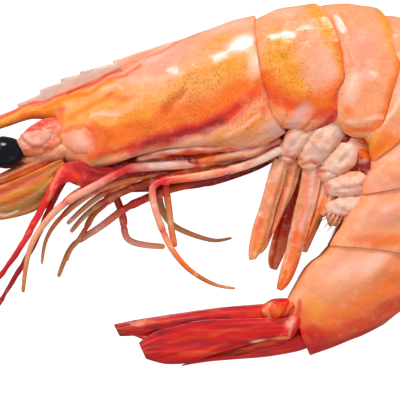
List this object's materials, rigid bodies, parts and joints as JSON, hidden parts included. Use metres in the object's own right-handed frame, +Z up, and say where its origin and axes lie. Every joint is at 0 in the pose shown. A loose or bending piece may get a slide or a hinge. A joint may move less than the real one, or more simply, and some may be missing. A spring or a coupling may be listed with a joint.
{
  "type": "whole shrimp",
  "caption": "Whole head-on shrimp in its orange-red shell, lying on its side and curled, with eyes, feelers, walking legs, swimming legs and tail fan.",
  "frame": {"origin": "middle of the bounding box's bottom face, on the surface that the shrimp lies on", "axes": "+X from the head towards the hump of the abdomen, +Y from the tail fan towards the back of the carapace, +Z up, out of the left side that shows"},
  "size_m": [0.0944, 0.063, 0.0151],
  "materials": {
    "carapace_shell": "wet glossy shell, orange with fine dark speckles",
    "abdomen_shell": "wet glossy shell, peach and orange",
    "tail_shell": "wet glossy shell, deep red with fine ribs",
    "underside": "moist soft skin, pale pink",
    "limb": "moist thin shell, pink and orange with red joints",
    "swimmeret": "moist thin shell, pale pink bases and orange blades",
    "antennal_scale": "thin translucent shell, brown orange",
    "feeler": "moist thin shell, red",
    "eye": "wet glossy black"
  },
  "bodies": {
    "root": {"carapace": "carapace_shell", "sternum": "underside", "abdomen_1": "abdomen_shell", "abdomen_2": "abdomen_shell", "abdomen_3": "abdomen_shell", "abdomen_4": "abdomen_shell", "abdomen_5": "abdomen_shell", "abdomen_6": "abdomen_shell", "telson": "tail_shell", "tail_joint_left": "tail_shell", "tail_joint_right": "tail_shell", "tail_fan_outer_left": "tail_shell", "tail_fan_outer_right": "tail_shell", "tail_fan_inner_left": "tail_shell", "tail_fan_inner_right": "tail_shell", "eye_left": "eye", "eye_right": "eye", "eyestalk_left": "underside", "eyestalk_right": "underside", "antennal_scale_left": "antennal_scale", "antennal_scale_right": "antennal_scale", "antennule_left": "feeler", "antennule_right": "feeler", "antenna_left": "feeler", "antenna_right": "feeler", "maxilliped_left": "limb", "maxilliped_right": "limb", "leg_1_left": "limb", "leg_1_right": "limb", "leg_2_left": "limb", "leg_2_right": "limb", "leg_3_left": "limb", "leg_3_right": "limb", "leg_4_left": "limb", "leg_4_right": "limb", "leg_5_left": "limb", "leg_5_right": "limb", "swimmeret_1_left": "swimmeret", "swimmeret_1_right": "swimmeret", "swimmeret_2_left": "swimmeret", "swimmeret_2_right": "swimmeret", "swimmeret_3_left": "swimmeret", "swimmeret_3_right": "swimmeret", "swimmeret_4_left": "swimmeret", "swimmeret_4_right": "swimmeret", "swimmeret_5_left": "swimmeret", "swimmeret_5_right": "swimmeret"}
  },
  "joints": []
}
